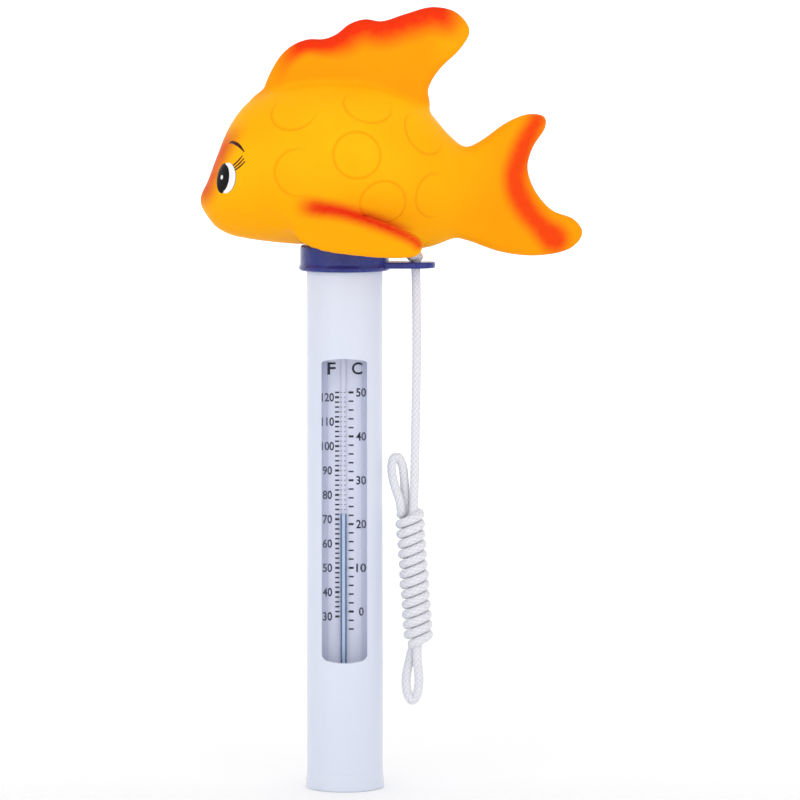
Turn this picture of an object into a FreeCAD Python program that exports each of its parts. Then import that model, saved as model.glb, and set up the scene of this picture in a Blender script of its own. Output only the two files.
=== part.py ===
# Floating pool thermometer: goldfish float, blue tether collar, white windowed
# tube with a glass thermometer inside, and a white cord wound into a hank.
#
# Frame: millimetres, +Z up the tube, origin at the centre of the flat foot.
# -X is the fish's nose, +X its tail and the tether lug, -Y faces the window.
import FreeCAD
import Part

import math
import os

Vec = FreeCAD.Vector

# ---- tube and its window ----
TUBE_R = 12.0
TUBE_WALL = 1.8
TUBE_BOTTOM = 5.2
TUBE_TOP = 170.2
WINDOW_W = 14.3
WINDOW_LOW = 40.9
WINDOW_HIGH = 137.0
WINDOW_ARCH = 1.0
WINDOW_CORNER_TOP = 1.0
WINDOW_CORNER_LOW = 2.2

# ---- bottom cap and ballast ----
CAP_LIP_R = 12.4
CAP_ROUND = 0.6
CAP_FLOOR = 1.6
CAP_SPIGOT_TOP = 9.0
CAP_SPIGOT_WALL = 1.6
CAP_OVERLAP = 0.5
INLET_R = 1.6
INLET_COUNT = 6
INLET_CIRCLE_R = 5.6
BALLAST_TOP = 20.0
BALLAST_BORE_R = 3.5
BALLAST_CHAMFER = 0.8
SEAT_HEIGHT = 8.0
GAP = 0.05

# ---- collar, its snap stud and its lug ----
COLLAR_LOW = 164.1
COLLAR_TOP = 172.2
COLLAR_R = 14.0
COLLAR_EDGE = 0.6
RIM_R = 14.4
RIM_TOP = 165.3
RIM_SLOPE = 0.9
RIM_ROUND = 0.9
COLLAR_FIT = 0.1
LUG_LOW = 164.9
LUG_TOP = 166.9
LUG_X = 22.4
LUG_END_R = 6.2
LUG_HOLE_R = 1.9
LUG_ROUND = 0.5
STUD_R = 4.0
STUD_NECK_TOP = 180.4
STUD_HEAD_R = 4.8
STUD_HEAD_LOW = 181.2
STUD_HEAD_HIGH = 181.8
STUD_TIP_R = 3.0
STUD_TOP = 183.6
SWIVEL_GAP = 0.06

# ---- float plug and the float's neck ----
PLUG_R = 8.0
PLUG_TOP = 186.4
PLUG_CHAMFER = 1.0
SOCKET_GAP = 0.3
SOCKET_LEAD = 0.4
NECK_WALL = 2.2
NECK_LOW = 174.2
NECK_TOP = 185.4
RECESS_GAP = 0.35
RECESS_TOP = 172.5

# ---- glass thermometer ----
GLASS_R = 8.8
GLASS_WALL = 0.9
GLASS_LOW = 24.0
GLASS_TOP = 158.0
STOPPER_LOW = 152.0
STOPPER_TOP = 160.5
STOPPER_TAPER = 0.8
STOPPER_EDGE = 0.5
CARD_W = 15.2
CARD_THICK = 0.4
CARD_FRONT_Y = 0.9
CARD_LOW = 34.8
CARD_TOP = 150.0
CAPILLARY_X = -0.4
CAPILLARY_R = 1.35
BORE_R = 1.06
BULB_R = 2.6
BULB_WALL = 0.4
BULB_LOW = 25.6
BULB_TOP = 34.4
CAPILLARY_TOP = 149.0
BORE_TOP = 146.0
SPIRIT_GAP = 0.06
SPIRIT_FOOT = 34.8
CARD_GAP = 0.02
TIE_HEIGHT = 2.4
TIE_LOWS = {"capillary_tie_lower": 36.0, "capillary_tie_upper": 144.5}
TIE_WIRE = 0.7
TIE_GAP = 0.03
TIE_REACH = 2.25

# ---- scale: heights of the marks, from which the spirit's height follows ----
ZERO_C_Z = 55.8
MM_PER_C = 1.394
READING_C = 22.4

# ---- cord ----
CORD_R = 1.5
KNOT_R = 3.0
KNOT_TOP = 170.3
KNOT_FULLNESS = 1.25
KNOT_OFFSET = 0.4
BEND_SHARE = 0.45
CORD_ROUTE = [
    (22.4, 0.0, 166.9),
    (22.9, 0.0, 145.0),
    (22.4, -0.4, 116.5),
    (21.9, -0.1, 89.0),
]
HANK_SHOULDER = 89.0
HANK_FOOT = 44.6

# ---- fish: wall of the moulded float ----
FLOAT_WALL = 2.2

# Cross-sections of the fish's body from nose to tail root:
# distance along the body, belly height, back height, half width.
NOSE_TIP = (-45.9, 185.6)
BODY_SECTIONS = [
    (-45.2, 182.0, 189.6, 4.5),
    (-43.2, 179.9, 193.6, 8.6),
    (-40.4, 177.8, 199.9, 12.4),
    (-36.8, 175.8, 208.0, 16.0),
    (-32.0, 174.5, 215.2, 19.8),
    (-25.0, 173.4, 220.0, 23.0),
    (-15.0, 172.5, 222.6, 25.6),
    (-4.0, 172.1, 223.4, 26.5),
    (8.0, 171.6, 222.6, 25.6),
    (18.0, 171.0, 219.6, 22.4),
    (26.0, 171.4, 214.6, 17.4),
    (32.5, 173.6, 207.2, 12.8),
    (38.0, 175.8, 202.5, 9.4),
    (44.0, 178.4, 200.8, 6.6),
    (50.0, 181.8, 198.0, 4.2),
]

# Side outlines of the fins (x, z); the last few points lie inside the body.
DORSAL_OUTLINE = [
    (-27.0, 215.4), (-25.2, 221.6), (-23.0, 226.8), (-20.0, 231.6), (-16.2, 234.9),
    (-11.5, 236.7), (-6.5, 236.8), (-2.4, 238.4), (1.6, 241.5), (6.5, 243.0),
    (12.0, 242.4), (19.0, 244.6), (27.4, 246.8), (35.0, 245.2), (39.3, 239.6),
    (36.4, 233.7), (30.0, 227.4), (26.4, 221.4), (24.6, 213.0), (0.0, 209.0),
]
TAIL_OUTLINE = [
    (34.0, 200.4), (38.2, 202.5), (43.5, 205.4), (50.5, 210.4), (57.2, 213.2),
    (62.6, 212.6), (63.0, 208.8), (59.2, 202.8), (57.6, 196.2), (60.0, 189.2),
    (65.2, 183.2), (72.0, 180.4), (74.9, 175.8), (70.6, 170.8), (60.5, 168.8),
    (50.0, 169.8), (41.0, 172.8), (35.0, 176.0), (30.0, 188.0),
]
PECTORAL_OUTLINE = [
    (-14.0, 181.4), (-9.0, 185.2), (0.0, 184.0), (9.0, 181.2), (17.0, 178.0),
    (22.6, 175.4), (24.5, 172.4), (22.6, 169.9), (17.0, 169.3), (9.0, 169.7),
    (0.0, 170.5), (-7.0, 171.6), (-13.0, 174.2), (-15.6, 178.0),
]
DORSAL_HALF = 3.2
TAIL_HALF = 3.0
DORSAL_ROUND = 2.4
TAIL_ROUND = 1.5
PECTORAL_THICK = 4.0
PECTORAL_ROUND = 1.2
PECTORAL_ROOT = (-14.0, -22.6, 182.0)
PECTORAL_SWEEP = 7.0
PECTORAL_LEAN = 14.0


def cylinder(radius, low, high, x=0.0, y=0.0):
    return Part.makeCylinder(radius, high - low, Vec(x, y, low))


def ring(outer, inner, low, high):
    return cylinder(outer, low, high).cut(cylinder(inner, low - 1, high + 1))


def revolve(points):
    """Solid of revolution about Z from (radius, height) corners."""
    corners = [Vec(r, 0, z) for r, z in points]
    wire = Part.makePolygon(corners + corners[:1])
    return Part.Face(wire).revolve(Vec(0, 0, 0), Vec(0, 0, 1), 360)


def window_prism():
    """The window's outline, pushed through the front wall of the tube."""
    half = WINDOW_W / 2
    front = -TUBE_R - 2
    low_left = Vec(-half, front, WINDOW_LOW + WINDOW_ARCH)
    low_mid = Vec(0, front, WINDOW_LOW)
    low_right = Vec(half, front, WINDOW_LOW + WINDOW_ARCH)
    top_right = Vec(half, front, WINDOW_HIGH - WINDOW_ARCH)
    top_mid = Vec(0, front, WINDOW_HIGH)
    top_left = Vec(-half, front, WINDOW_HIGH - WINDOW_ARCH)
    outline = Part.Wire([
        Part.Arc(low_left, low_mid, low_right).toShape(),
        Part.makeLine(low_right, top_right),
        Part.Arc(top_right, top_mid, top_left).toShape(),
        Part.makeLine(top_left, low_left),
    ])
    prism = Part.Face(outline).extrude(Vec(0, TUBE_R, 0))
    for corner, radius in ((top_left, WINDOW_CORNER_TOP), (low_left, WINDOW_CORNER_LOW)):
        edges = [e for e in prism.Edges if is_cross_edge(e, corner.z)]
        prism = prism.makeFillet(radius, edges)
    return prism


def is_cross_edge(edge, height):
    """True for an edge along Y at this height."""
    first, last = edge.Vertexes[0].Point, edge.Vertexes[-1].Point
    level = abs(first.z - height) < 1e-4 and abs(last.z - height) < 1e-4
    return level and abs(abs(first.y - last.y) - TUBE_R) < 1e-3


def outer_tube():
    tube = ring(TUBE_R, TUBE_R - TUBE_WALL, TUBE_BOTTOM, TUBE_TOP)
    return tube.cut(window_prism())


def bottom_cap():
    """Flat foot the width of the tube, its upper edge drawn in to meet the tube."""
    lip = revolve([(0, 0), (CAP_LIP_R, 0), (CAP_LIP_R, CAP_FLOOR), (TUBE_R, TUBE_BOTTOM), (0, TUBE_BOTTOM)])
    rim = [e for e in lip.Edges if e.Length > 2 * CAP_LIP_R and abs(e.CenterOfMass.z) < 1e-6]
    lip = lip.makeFillet(CAP_ROUND, rim)
    spigot_r = TUBE_R - TUBE_WALL - GAP
    hollow_r = spigot_r - CAP_SPIGOT_WALL
    cap = lip.cut(cylinder(hollow_r, CAP_FLOOR, TUBE_BOTTOM + 1))
    cap = cap.fuse(ring(spigot_r, hollow_r, TUBE_BOTTOM - CAP_OVERLAP, CAP_SPIGOT_TOP))
    for index in range(INLET_COUNT):
        angle = 2 * math.pi * index / INLET_COUNT
        x, y = INLET_CIRCLE_R * math.cos(angle), INLET_CIRCLE_R * math.sin(angle)
        cap = cap.cut(cylinder(INLET_R, -1, CAP_FLOOR + 1, x, y))
    return cap


def ballast_weight():
    outer = TUBE_R - TUBE_WALL - GAP
    low, high, cut = CAP_SPIGOT_TOP, BALLAST_TOP, BALLAST_CHAMFER
    return revolve([
        (BALLAST_BORE_R, low), (outer - cut, low), (outer, low + cut),
        (outer, high - cut), (outer - cut, high), (BALLAST_BORE_R, high),
    ])


def lower_cushion():
    """Rubber seat: a ring hollowed to the glass tube's round end."""
    outer = TUBE_R - TUBE_WALL - GAP
    seat = ring(outer, BALLAST_BORE_R, BALLAST_TOP, BALLAST_TOP + SEAT_HEIGHT)
    return seat.cut(glass_outside(GAP))


def glass_outside(grow=0.0):
    radius = GLASS_R + grow
    centre_z = GLASS_LOW + GLASS_R
    dome = Part.makeSphere(radius, Vec(0, 0, centre_z))
    return dome.fuse(cylinder(radius, centre_z, GLASS_TOP))


def glass_envelope():
    mouth = cylinder(GLASS_R - GLASS_WALL, STOPPER_LOW, GLASS_TOP + 1)
    return glass_outside().cut(glass_outside(-GLASS_WALL)).cut(mouth)


def envelope_stopper():
    plug_r = GLASS_R - GLASS_WALL - GAP
    return revolve([
        (0, STOPPER_LOW), (plug_r - STOPPER_TAPER, STOPPER_LOW), (plug_r, STOPPER_LOW + STOPPER_TAPER),
        (plug_r, GLASS_TOP), (GLASS_R, GLASS_TOP), (GLASS_R, STOPPER_TOP - STOPPER_EDGE),
        (GLASS_R - STOPPER_EDGE, STOPPER_TOP), (0, STOPPER_TOP),
    ])


def upper_cushion():
    outer = TUBE_R - TUBE_WALL - GAP
    return cylinder(outer, STOPPER_TOP, TUBE_TOP)


def capillary_axis_y():
    return CARD_FRONT_Y - CAPILLARY_R - CARD_GAP


def scale_card():
    card = Part.makeBox(CARD_W, CARD_THICK, CARD_TOP - CARD_LOW,
                        Vec(-CARD_W / 2, CARD_FRONT_Y, CARD_LOW))
    for low in TIE_LOWS.values():
        card = card.cut(tie_block(low, GAP))
    return card


def capillary_tube():
    y = capillary_axis_y()
    stem = cylinder(CAPILLARY_R, BULB_TOP - 1.5, CAPILLARY_TOP - CAPILLARY_R, CAPILLARY_X, y)
    stem = stem.fuse(Part.makeSphere(CAPILLARY_R, Vec(CAPILLARY_X, y, CAPILLARY_TOP - CAPILLARY_R)))
    bore = cylinder(BORE_R, BULB_TOP - 2, BORE_TOP, CAPILLARY_X, y)
    return stem.fuse(bulb(BULB_R)).cut(bulb(BULB_R - BULB_WALL)).cut(bore)


def bulb(radius):
    """Capsule of the bulb's glass, or of the space in it."""
    y = capillary_axis_y()
    low = BULB_LOW + BULB_R
    high = BULB_TOP - BULB_R
    body = cylinder(radius, low, high, CAPILLARY_X, y)
    for z in (low, high):
        body = body.fuse(Part.makeSphere(radius, Vec(CAPILLARY_X, y, z)))
    return body


def spirit_top():
    return ZERO_C_Z + READING_C * MM_PER_C


def bulb_spirit():
    return bulb(BULB_R - BULB_WALL - GAP)


def spirit_column():
    y = capillary_axis_y()
    return cylinder(BORE_R - SPIRIT_GAP, SPIRIT_FOOT, spirit_top(), CAPILLARY_X, y)


def tie_block(low, grow=0.0):
    """The strip of metal bent round the capillary and through the card."""
    y = capillary_axis_y()
    strip = TIE_WIRE + grow
    front = y - CAPILLARY_R - TIE_GAP - strip
    depth = CARD_FRONT_Y + CARD_THICK + TIE_GAP + strip - front
    left = CAPILLARY_X - TIE_REACH - grow
    width = 2 * (TIE_REACH + grow)
    block = Part.makeBox(width, depth, TIE_HEIGHT + 2 * grow, Vec(left, front, low - grow))
    corner = Vec(left + grow + strip, front + strip, low - 1)
    inner = Part.makeBox(width - 2 * (grow + strip), depth - 2 * strip, TIE_HEIGHT + 2, corner)
    return block.cut(inner)


def collar_body():
    """Cup over the tube's top with a flared lower rim, and the snap stud above it."""
    inner = TUBE_R + COLLAR_FIT
    return revolve([
        (inner, COLLAR_LOW), (RIM_R, COLLAR_LOW), (RIM_R, RIM_TOP), (COLLAR_R, RIM_TOP + RIM_SLOPE),
        (COLLAR_R, COLLAR_TOP - COLLAR_EDGE), (COLLAR_R - COLLAR_EDGE, COLLAR_TOP),
        (STUD_R, COLLAR_TOP), (STUD_R, STUD_NECK_TOP), (STUD_HEAD_R, STUD_HEAD_LOW),
        (STUD_HEAD_R, STUD_HEAD_HIGH), (STUD_TIP_R, STUD_TOP), (0, STUD_TOP),
        (0, TUBE_TOP), (inner, TUBE_TOP),
    ])


def lug_plate():
    """Flat ear with a rounded end and the cord's hole."""
    end = cylinder(LUG_END_R, LUG_LOW, LUG_TOP, LUG_X)
    neck = Part.makeBox(LUG_X, 2 * LUG_END_R, LUG_TOP - LUG_LOW, Vec(0, -LUG_END_R, LUG_LOW))
    plate = end.fuse(neck).removeSplitter()
    rims = [e for e in plate.Edges if abs(e.Vertexes[0].Z - e.Vertexes[-1].Z) < 1e-6]
    rims = [e for e in rims if e.BoundBox.XMax > 1]
    plate = plate.makeFillet(LUG_ROUND, rims)
    plate = plate.cut(cylinder(TUBE_R + 1, LUG_LOW - 1, LUG_TOP + 1))
    return plate.cut(cylinder(LUG_HOLE_R, LUG_LOW - 1, LUG_TOP + 1, LUG_X))


def tether_collar():
    body = collar_body()
    rim = [e for e in body.Edges
           if abs(e.CenterOfMass.z - COLLAR_LOW) < 1e-6 and e.Length > 2 * math.pi * COLLAR_R]
    body = body.makeFillet(RIM_ROUND, rim)
    return body.fuse(lug_plate())


def float_plug():
    """Stopper of the float's neck, with the socket that snaps over the stud."""
    neck_r = STUD_R + SWIVEL_GAP
    head_r = STUD_HEAD_R + SOCKET_GAP
    outer = PLUG_R - GAP
    low = COLLAR_TOP + GAP
    return revolve([
        (neck_r, low), (outer, low), (outer, PLUG_TOP - PLUG_CHAMFER),
        (outer - PLUG_CHAMFER, PLUG_TOP), (0, PLUG_TOP), (0, STUD_TOP + SOCKET_GAP),
        (head_r, STUD_TOP + SOCKET_GAP), (head_r, STUD_HEAD_LOW - SOCKET_GAP),
        (neck_r, STUD_NECK_TOP - SOCKET_LEAD),
    ])


def body_loft(inset):
    """Egg-shaped body of the fish, shrunk all round by the inset."""
    shapes = []
    if inset == 0:
        shapes.append(Part.Vertex(NOSE_TIP[0], 0, NOSE_TIP[1]))
    for x, low, high, half in BODY_SECTIONS:
        if half - inset < 1.5:
            continue
        tall = (high - low) / 2 - inset
        wide = half - inset
        centre = Vec(x, 0, (high + low) / 2)
        long_end = Vec(x, 0, centre.z + tall)
        side_end = Vec(x, wide, centre.z)
        if wide > tall:
            long_end, side_end = side_end, long_end
        ellipse = Part.Ellipse(long_end, side_end, centre)
        shapes.append(Part.Wire([ellipse.toShape()]))
    return Part.makeLoft(shapes, True, False)


def outline_face(points, y):
    curve = Part.BSplineCurve()
    curve.interpolate([Vec(x, y, z) for x, z in points], PeriodicFlag=True)
    return Part.Face(Part.Wire([curve.toShape()]))


def fin_plate(points, half, rounding):
    """Fin of even thickness with rounded edges."""
    plate = outline_face(points, -half).extrude(Vec(0, 2 * half, 0))
    return plate.makeFillet(rounding, [e for e in plate.Edges if e.BoundBox.YLength < 1e-6])


def pectoral_fin(side):
    """Side fin: swept outwards to the rear, leaning outwards at the bottom."""
    plate = outline_face(PECTORAL_OUTLINE, 0).extrude(Vec(0, PECTORAL_THICK, 0))
    plate = plate.makeFillet(PECTORAL_ROUND, [e for e in plate.Edges if e.BoundBox.YLength < 1e-6])
    root_x, root_y, root_z = PECTORAL_ROOT
    root = Vec(root_x, 0, root_z)
    plate.rotate(root, Vec(0, 0, 1), -PECTORAL_SWEEP)
    plate.rotate(root, Vec(1, 0, 0), -PECTORAL_LEAN)
    plate.translate(Vec(0, root_y, 0))
    if side > 0:
        plate = plate.mirror(Vec(0, 0, 0), Vec(0, 1, 0))
    return plate


def fish_float():
    """Hollow fish with a neck round the plug and a recess over the collar."""
    shell = body_loft(0)
    shell = shell.fuse(fin_plate(DORSAL_OUTLINE, DORSAL_HALF, DORSAL_ROUND))
    shell = shell.fuse(fin_plate(TAIL_OUTLINE, TAIL_HALF, TAIL_ROUND))
    shell = shell.fuse(pectoral_fin(-1)).fuse(pectoral_fin(1))
    shell = shell.cut(body_loft(FLOAT_WALL))
    shell = shell.fuse(cylinder(PLUG_R + NECK_WALL, NECK_LOW, NECK_TOP))
    shell = shell.cut(cylinder(PLUG_R, COLLAR_LOW, PLUG_TOP + NECK_WALL))
    return shell.cut(cylinder(COLLAR_R + RECESS_GAP, COLLAR_LOW, RECESS_TOP))


def cord_knot():
    """Stopper knot on top of the lug."""
    half_height = (KNOT_TOP - LUG_TOP) / 2 * KNOT_FULLNESS
    ball = Part.makeSphere(KNOT_R)
    matrix = FreeCAD.Matrix()
    matrix.scale(1, 1, half_height / KNOT_R)
    ball = ball.transformGeometry(matrix)
    ball.translate(Vec(LUG_X - KNOT_OFFSET, 0, KNOT_TOP - half_height))
    return ball.cut(cylinder(2 * KNOT_R, LUG_TOP - 2 * KNOT_R, LUG_TOP, LUG_X))


def rounded_path(route):
    """Straight runs joined by tangent arcs, as large as their two runs allow."""
    points = [Vec(*p) for p in route]
    edges = []
    start = points[0]
    for before, corner, after in zip(points, points[1:], points[2:]):
        into = (corner - before).normalize()
        out = (after - corner).normalize()
        turn = into.getAngle(out)
        reach = BEND_SHARE * min((corner - before).Length, (after - corner).Length)
        radius = reach / math.tan(turn / 2)
        print("cord bend radius %.1f mm" % radius)
        arc_start = corner - into * reach
        arc_end = corner + out * reach
        toward = (out - into).normalize()
        middle = corner + toward * (radius / math.cos(turn / 2) - radius)
        edges.append(Part.LineSegment(start, arc_start).toShape())
        edges.append(Part.Arc(arc_start, middle, arc_end).toShape())
        start = arc_end
    edges.append(Part.LineSegment(start, points[-1]).toShape())
    return Part.Wire(edges)


def tether_cord():
    path = rounded_path(CORD_ROUTE)
    first = path.Edges[0]
    circle = Part.Circle(Vec(*CORD_ROUTE[0]), first.tangentAt(first.FirstParameter), CORD_R)
    tube = path.makePipeShell([Part.Wire([circle.toShape()])], True, False)
    whole = math.pi * CORD_R ** 2 * path.Length
    print("cord tube volume %.1f mm3, section times length %.1f mm3" % (tube.Volume, whole))
    return tube


def oval_loft(sections):
    """Loft of level ovals: height, centre x, half width in X, half width in Y."""
    wires = []
    for z, x, half_x, half_y in sections:
        centre = Vec(x, 0, z)
        ellipse = Part.Ellipse(Vec(x + half_x, 0, z), Vec(x, half_y, z), centre)
        wires.append(Part.Wire([ellipse.toShape()]))
    return Part.makeLoft(wires, True, False)


def cord_hank():
    """Outer shape of the wound cord: two bights and the wrapped middle."""
    middle = oval_loft([
        (HANK_SHOULDER, 20.4, 4.3, 4.1), (81.5, 20.9, 4.9, 4.7), (66.5, 22.1, 4.9, 4.7),
        (51.0, 23.2, 4.8, 4.7), (HANK_FOOT, 23.3, 4.0, 3.9),
    ])
    top_bight = oval_loft([
        (HANK_SHOULDER - 3, 18.7, 1.6, 1.6), (92.8, 18.1, 1.9, 1.6), (98.0, 17.0, 3.0, 1.6),
        (102.6, 16.3, 3.1, 1.6), (105.8, 16.1, 1.9, 1.4), (106.7, 16.0, 0.8, 0.6),
    ])
    low_bight = oval_loft([
        (HANK_FOOT + 3, 22.4, 2.2, 1.6), (42.0, 21.9, 2.2, 1.6), (37.4, 21.6, 3.2, 1.6),
        (32.2, 21.5, 3.4, 1.6), (28.0, 21.3, 2.6, 1.5), (25.8, 21.2, 1.2, 0.9),
    ])
    return middle.fuse(top_bight).fuse(low_bight)


def one_solid(shape):
    solids = shape.Solids
    if len(solids) != 1:
        raise ValueError("expected one solid, found %d" % len(solids))
    return solids[0]


def main():
    nodes = {
        "outer_tube": outer_tube(),
        "bottom_cap": bottom_cap(),
        "ballast_weight": ballast_weight(),
        "lower_cushion": lower_cushion(),
        "glass_envelope": glass_envelope(),
        "envelope_stopper": envelope_stopper(),
        "upper_cushion": upper_cushion(),
        "scale_card": scale_card(),
        "capillary_tube": capillary_tube(),
        "bulb_spirit": bulb_spirit(),
        "spirit_column": spirit_column(),
        "tether_collar": tether_collar(),
        "float_plug": float_plug(),
        "fish_float": fish_float(),
        "cord_knot": cord_knot(),
        "tether_cord": tether_cord(),
        "cord_hank": cord_hank(),
    }
    for name, low in TIE_LOWS.items():
        nodes[name] = tie_block(low)
    os.makedirs("parts", exist_ok=True)
    for name, shape in nodes.items():
        solid = one_solid(shape)
        if not solid.isValid():
            raise ValueError("%s is not a valid solid" % name)
        solid.exportStep("parts/%s.step" % name)
        print("%-22s %9.1f mm3" % (name, solid.Volume))


main()
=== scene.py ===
import math

import bmesh
import bpy
import numpy as np
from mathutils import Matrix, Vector


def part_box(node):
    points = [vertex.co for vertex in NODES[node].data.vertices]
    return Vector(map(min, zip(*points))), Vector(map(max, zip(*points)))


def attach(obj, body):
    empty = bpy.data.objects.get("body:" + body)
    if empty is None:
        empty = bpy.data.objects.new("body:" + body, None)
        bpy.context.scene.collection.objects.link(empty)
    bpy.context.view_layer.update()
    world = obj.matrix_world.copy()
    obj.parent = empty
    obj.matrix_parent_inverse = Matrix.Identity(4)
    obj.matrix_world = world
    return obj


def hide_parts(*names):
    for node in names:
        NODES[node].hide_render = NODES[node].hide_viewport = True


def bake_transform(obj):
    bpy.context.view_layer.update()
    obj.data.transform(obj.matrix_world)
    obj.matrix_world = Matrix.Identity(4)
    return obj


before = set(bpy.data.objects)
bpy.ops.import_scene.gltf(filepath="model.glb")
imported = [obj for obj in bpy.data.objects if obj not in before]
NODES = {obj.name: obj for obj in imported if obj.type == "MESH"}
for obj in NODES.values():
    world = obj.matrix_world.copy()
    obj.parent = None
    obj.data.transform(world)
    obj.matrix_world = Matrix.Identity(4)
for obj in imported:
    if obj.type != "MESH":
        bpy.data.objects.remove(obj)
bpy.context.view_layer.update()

MM = 0.001
RNG = np.random.default_rng(7)


def box_mm(node):
    """Lowest and highest corner of a CAD node, in millimetres."""
    low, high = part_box(node)
    return np.array(low) / MM, np.array(high) / MM


# ---------------------------------------------------------------- geometry helpers

def mesh_object(name, verts_mm, faces, smooth=True):
    """A mesh object from vertices in millimetres."""
    mesh = bpy.data.meshes.new(name)
    verts = (np.asarray(verts_mm, float) * MM).tolist()
    mesh.from_pydata(verts, [], [[int(i) for i in f] for f in faces])
    mesh.validate()
    mesh.polygons.foreach_set("use_smooth", [smooth] * len(mesh.polygons))
    mesh.update()
    obj = bpy.data.objects.new(name, mesh)
    bpy.context.scene.collection.objects.link(obj)
    return obj


def point_attribute(obj, name, values):
    attribute = obj.data.attributes.new(name, "FLOAT", "POINT")
    attribute.data.foreach_set("value", np.asarray(values, np.float32))


def mesh_points_mm(obj):
    co = np.zeros(len(obj.data.vertices) * 3)
    obj.data.vertices.foreach_get("co", co)
    return co.reshape(-1, 3) / MM


def smooth_curve(points, closed=False, per_span=8):
    """Catmull-Rom curve through the points."""
    p = np.asarray(points, float)
    if closed:
        p = np.vstack([p[-1:], p, p[:2]])
    else:
        p = np.vstack([2 * p[0] - p[1], p, 2 * p[-1] - p[-2]])
    out = []
    for a, b, c, d in zip(p, p[1:], p[2:], p[3:]):
        for t in np.arange(per_span) / per_span:
            out.append(0.5 * (2 * b + (c - a) * t + (2 * a - 5 * b + 4 * c - d) * t ** 2
                              + (3 * b - a - 3 * c + d) * t ** 3))
    if not closed:
        out.append(p[-2])
    return np.array(out)


def smoothstep(low, high, value):
    t = np.clip((value - low) / (high - low), 0, 1)
    return t * t * (3 - 2 * t)


def grid_faces(rows, columns):
    """Quads of a grid of vertices that closes round its columns."""
    faces = []
    for i in range(rows - 1):
        for j in range(columns):
            k = (j + 1) % columns
            faces.append((i * columns + j, i * columns + k, (i + 1) * columns + k, (i + 1) * columns + j))
    return faces


def resample(points, step):
    """Points at even steps along a polyline."""
    p = np.asarray(points, float)
    length = np.concatenate([[0], np.cumsum(np.linalg.norm(np.diff(p, axis=0), axis=1))])
    count = max(2, int(round(length[-1] / step)) + 1)
    s = np.linspace(0, length[-1], count)
    return np.stack([np.interp(s, length, p[:, k]) for k in range(3)], axis=1), s


def carried_frames(points):
    """Two unit vectors across the line at each point, carried along without twist."""
    tangent = np.gradient(points, axis=0)
    tangent /= np.linalg.norm(tangent, axis=1)[:, None]
    side = np.cross(tangent[0], [0.3, 1.0, 0.2])
    side /= np.linalg.norm(side)
    sides = [side]
    for t in tangent[1:]:
        side = side - t * np.dot(side, t)
        side = side / np.linalg.norm(side)
        sides.append(side)
    sides = np.array(sides)
    return tangent, sides, np.cross(tangent, sides)


# ---------------------------------------------------------------- camera and stage

EYE = Vector((17.46, -1449.0, 240.0)) * MM
PITCH = math.radians(4.61)
SENSOR_MM = 36.0
LENS_MM = 207.225
LIGHT_TARGET = Vector((0.01, 0, 0.13))


def make_camera():
    data = bpy.data.cameras.new("photo_camera")
    data.sensor_width = SENSOR_MM
    data.lens = LENS_MM
    data.clip_start = 0.05
    data.clip_end = 30
    camera = bpy.data.objects.new("photo_camera", data)
    camera.location = EYE
    camera.rotation_euler = (math.pi / 2 - PITCH, 0, 0)
    bpy.context.scene.collection.objects.link(camera)
    bpy.context.scene.camera = camera


def soft_light(name, azimuth, elevation, distance, size, power):
    """Softbox aimed at the object; azimuth 0 is the camera's side, + is to the right."""
    data = bpy.data.lights.new(name, "AREA")
    data.shape = "RECTANGLE"
    data.size, data.size_y = size
    data.energy = power
    light = bpy.data.objects.new(name, data)
    az, el = math.radians(azimuth), math.radians(elevation)
    away = Vector((math.sin(az) * math.cos(el), -math.cos(az) * math.cos(el), math.sin(el)))
    light.location = LIGHT_TARGET + away * distance
    light.rotation_euler = (-away).to_track_quat("-Z", "Y").to_euler()
    bpy.context.scene.collection.objects.link(light)


FLOOR_R = 2000.0
WALL_R = 3400.0
WALL_TOP = 3600.0
WALL_BEND_STEPS = 16
FLOOR_RINGS = (1.0, 100.0, 200.0, 300.0, 400.0, 600.0, 800.0, 1000.0, 1500.0, FLOOR_R)
FLOOR_SEGMENTS = 96
PAPER_GLOW = 0.5
SURROUND_LIGHT = 0.62
TRANSPARENT_LAYERS = 32


def floor_profile():
    """Radius and height of the floor's rings, from the centre out and up the wall."""
    bend = WALL_R - FLOOR_R
    profile = [(r, 0.0) for r in FLOOR_RINGS]
    for step in range(1, WALL_BEND_STEPS + 1):
        angle = math.pi / 2 * step / WALL_BEND_STEPS
        profile.append((FLOOR_R + bend * math.sin(angle), bend - bend * math.cos(angle)))
    profile.append((WALL_R, WALL_TOP))
    return profile


def floor_glow(verts):
    """The paper's own light: dimmer round the object, at the two sides and in front."""
    radius = np.hypot(verts[:, 0], verts[:, 1])
    sideways = smoothstep(0.55, 0.95, np.abs(verts[:, 0]) / radius) * smoothstep(900, FLOOR_R, radius)
    behind = smoothstep(-0.2, 0.5, verts[:, 1] / radius)
    near = 1 - smoothstep(150, 900, radius)
    return (1 - 0.8 * sideways) * (0.72 + 0.28 * behind) * (1 - 0.72 * near)


def paper_material():
    material = bpy.data.materials.new("studio_paper")
    material.use_nodes = True
    tree = material.node_tree
    shader = tree.nodes["Principled BSDF"]
    shader.inputs["Base Color"].default_value = (0.9, 0.9, 0.905, 1)
    shader.inputs["Roughness"].default_value = 0.9
    shader.inputs["Emission Color"].default_value = (1, 1, 1, 1)
    glow = tree.nodes.new("ShaderNodeAttribute")
    glow.attribute_name = "glow"
    strength = tree.nodes.new("ShaderNodeMath")
    strength.operation = "MULTIPLY"
    strength.inputs[1].default_value = PAPER_GLOW
    tree.links.new(glow.outputs["Fac"], strength.inputs[0])
    tree.links.new(strength.outputs[0], shader.inputs["Emission Strength"])
    return material


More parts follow.
